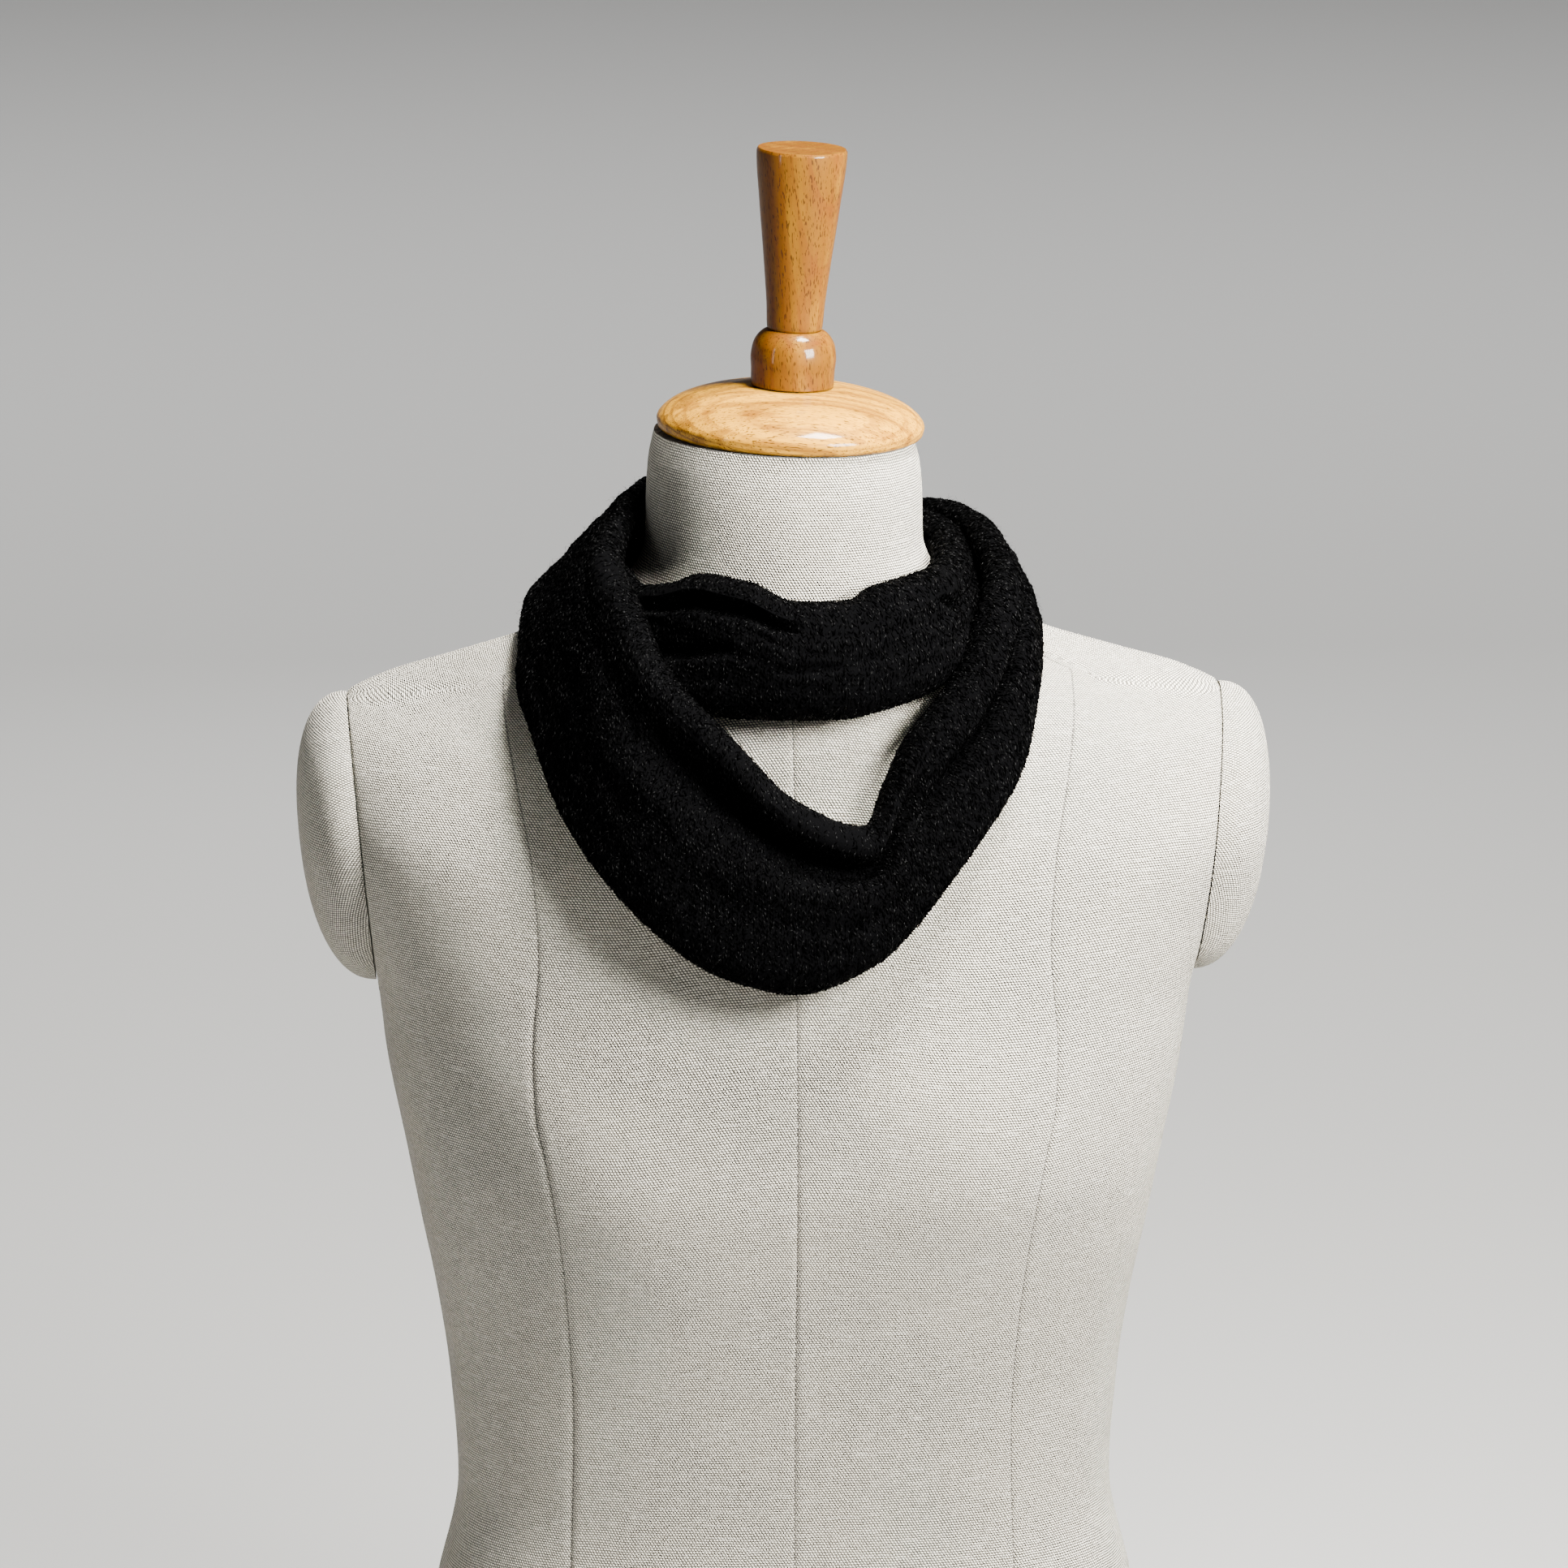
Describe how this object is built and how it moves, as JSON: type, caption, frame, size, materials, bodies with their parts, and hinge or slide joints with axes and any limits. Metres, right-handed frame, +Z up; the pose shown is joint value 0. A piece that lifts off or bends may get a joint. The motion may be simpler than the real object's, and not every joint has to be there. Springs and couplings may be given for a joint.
{
  "type": "knitted neck warmer on a dress form",
  "caption": "Endless knitted neck warmer wound double round the neck of a canvas-covered dress form with shoulder caps and a turned wooden neck top.",
  "frame": {"origin": "middle of the flat underside of the dress form, on the axis of its neck", "axes": "+Z up along the neck, -Y towards the front of the form, +X to the right as seen from the front"},
  "size_m": [0.4084, 0.2342, 0.7754],
  "materials": {
    "black_knit": "fine-gauge knit, matt with a slight halo of fibres",
    "form_canvas": "unbleached cotton canvas, plain weave with small flecks",
    "form_wood": "turned light wood under clear gloss varnish"
  },
  "bodies": {
    "root": {"torso": "form_canvas", "shoulder_cap_left": "form_canvas", "shoulder_cap_right": "form_canvas", "neck_cap": "form_wood", "bulb_collar": "form_wood", "finial": "form_wood", "scarf_low_front": "black_knit", "scarf_outer_back": "black_knit", "scarf_high_front": "black_knit", "scarf_inner_back": "black_knit"}
  },
  "joints": []
}
